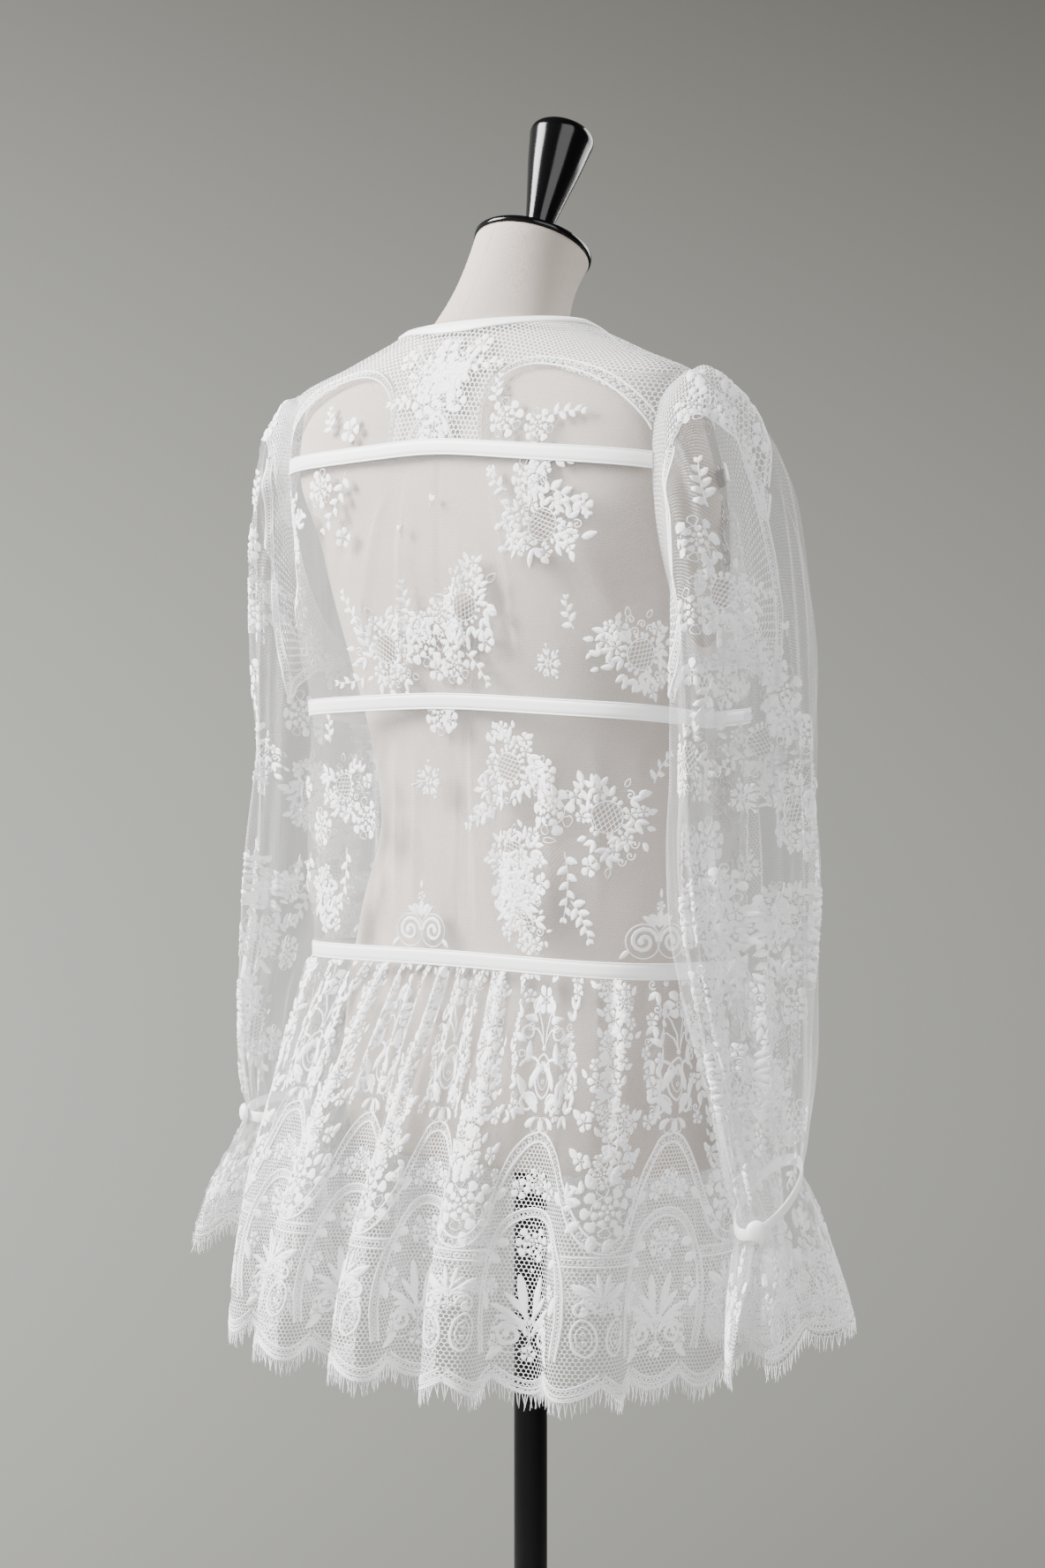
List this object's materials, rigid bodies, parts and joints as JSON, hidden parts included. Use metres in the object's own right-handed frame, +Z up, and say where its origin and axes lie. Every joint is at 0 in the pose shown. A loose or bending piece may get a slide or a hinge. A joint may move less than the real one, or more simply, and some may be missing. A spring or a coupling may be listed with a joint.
{
  "type": "lace blouse on limbless dress form",
  "caption": "Long-sleeved lace blouse with taped tiers, flared cuffs and a gathered scalloped peplum, worn by a limbless dress form on a pole.",
  "frame": {"origin": "centre of the underside of the stand's base, on the floor", "axes": "+Z up; the wearer faces -Y, so +Y is the centre back; +X is the wearer's left"},
  "size_m": [0.5788, 0.3738, 1.5604],
  "materials": {
    "lace": "white corded lace on fine net",
    "tape": "smooth white satin",
    "label": "bare woven label",
    "linen": "greige linen cover",
    "black_lacquer": "black gloss lacquer",
    "black_steel": "black satin paint"
  },
  "bodies": {
    "root": {"yoke": "lace", "back_upper": "lace", "front_upper": "lace", "back_lower_left": "lace", "back_lower_right": "lace", "front_lower": "lace", "peplum_back": "lace", "peplum_front": "lace", "hem_fringe": "lace", "sleeve_left_back": "lace", "sleeve_left_front": "lace", "sleeve_right_back": "lace", "sleeve_right_front": "lace", "cuff_ruffle_left": "lace", "cuff_ruffle_right": "lace", "cuff_fringe_left": "lace", "cuff_fringe_right": "lace", "cuff_band_left": "tape", "cuff_band_right": "tape", "cuff_button_left": "tape", "cuff_button_right": "tape", "tape_upper_back": "tape", "tape_upper_front": "tape", "tape_middle": "tape", "tape_lower": "tape", "neck_binding": "tape", "neck_label": "label", "torso_form": "linen", "neck_plate": "black_lacquer", "finial": "black_lacquer", "pole": "black_steel", "base": "black_steel"}
  },
  "joints": []
}
